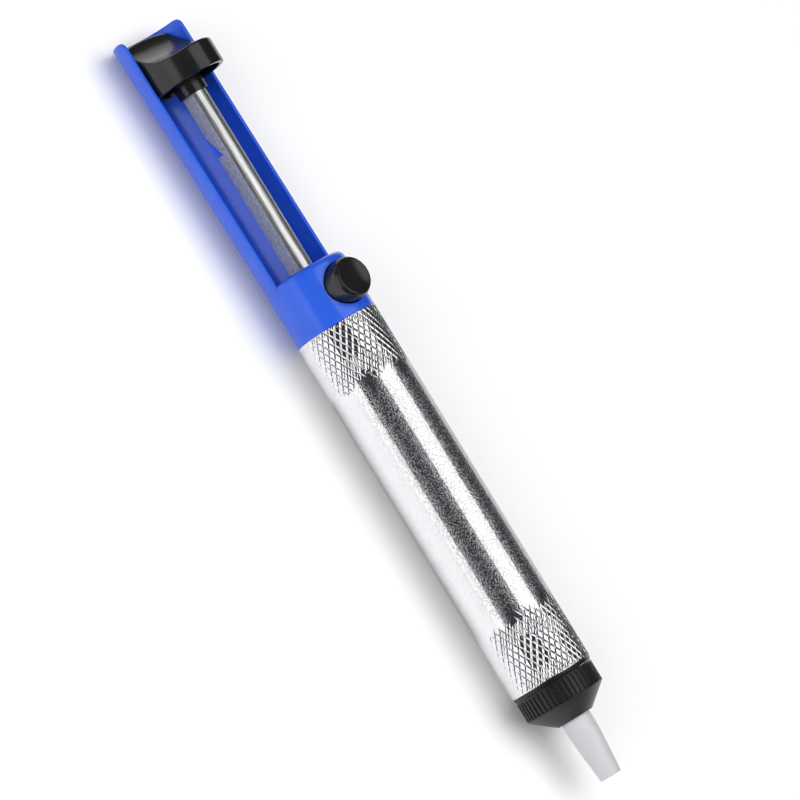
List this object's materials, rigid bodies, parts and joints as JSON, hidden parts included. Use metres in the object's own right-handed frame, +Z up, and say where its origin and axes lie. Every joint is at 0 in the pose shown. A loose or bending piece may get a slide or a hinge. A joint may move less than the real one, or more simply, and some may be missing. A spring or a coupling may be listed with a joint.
{
  "type": "desoldering pump",
  "caption": "Spring-loaded solder sucker with a metal barrel, half-round thumb guard, side release button and screw-on heat-proof nozzle.",
  "frame": {"origin": "under the middle of the pump, on the surface that it lies on, back of the guard down", "axes": "+X along the pump towards the nozzle, +Z up on the side of the release button and of the guard's opening"},
  "size_m": [0.196, 0.02, 0.0246],
  "materials": {
    "barrel": "bright turned, with two cross-knurled bands",
    "blue_plastic": "glossy moulded",
    "black_plastic": "satin moulded",
    "knob_plastic": "satin moulded, slightly glossy",
    "ptfe": "waxy, smooth",
    "steel": "ground bar with milled flats",
    "spring_steel": "drawn wire",
    "rubber": "matt",
    "bush": "sintered bronze"
  },
  "bodies": {
    "housing": {"barrel_tube": "barrel", "handle_guard": "blue_plastic", "rear_bush": "bush", "rear_bumper": "rubber", "front_insert": "black_plastic", "insert_o_ring": "rubber", "spring_seat": "steel", "main_spring": "spring_steel", "button_spring": "spring_steel"},
    "plunger": {"plunger_knob": "knob_plastic", "plunger_shaft": "steel", "piston_rear_washer": "steel", "piston": "black_plastic", "piston_o_ring": "rubber", "piston_front_washer": "steel", "piston_nut": "steel", "cleaning_pin": "steel"},
    "button": {"release_button": "knob_plastic", "catch_plate": "steel"},
    "nozzle": {"nozzle_tip": "ptfe", "nozzle_seal": "rubber"},
    "collar": {"nose_collar": "black_plastic"}
  },
  "joints": [
    {"name": "plunger_slide", "type": "slide", "parent": "housing", "child": "plunger", "axis": [1, 0, 0], "range_m": [0, 0.042], "stiffness_N_per_m": 260, "springref_m": -0.03, "deforming": ["main_spring"]},
    {"name": "button_press", "type": "slide", "parent": "housing", "child": "button", "axis": [0, 0, -1], "range_m": [0, 0.002], "stiffness_N_per_m": 400, "springref_m": -0.004, "deforming": ["button_spring"]},
    {"name": "nozzle_slide", "type": "slide", "parent": "housing", "child": "nozzle", "axis": [1, 0, 0], "range_m": [0, 0.006]},
    {"name": "collar_turn", "type": "hinge", "parent": "nozzle", "child": "collar", "pos_m": [0.07775, 0, 0.01095], "axis": [1, 0, 0], "range_deg": [0, 1440]}
  ],
  "couplings": [
    {"joint": "nozzle_slide", "follows": "collar_turn", "m_per_rad": 0.00023873}
  ]
}
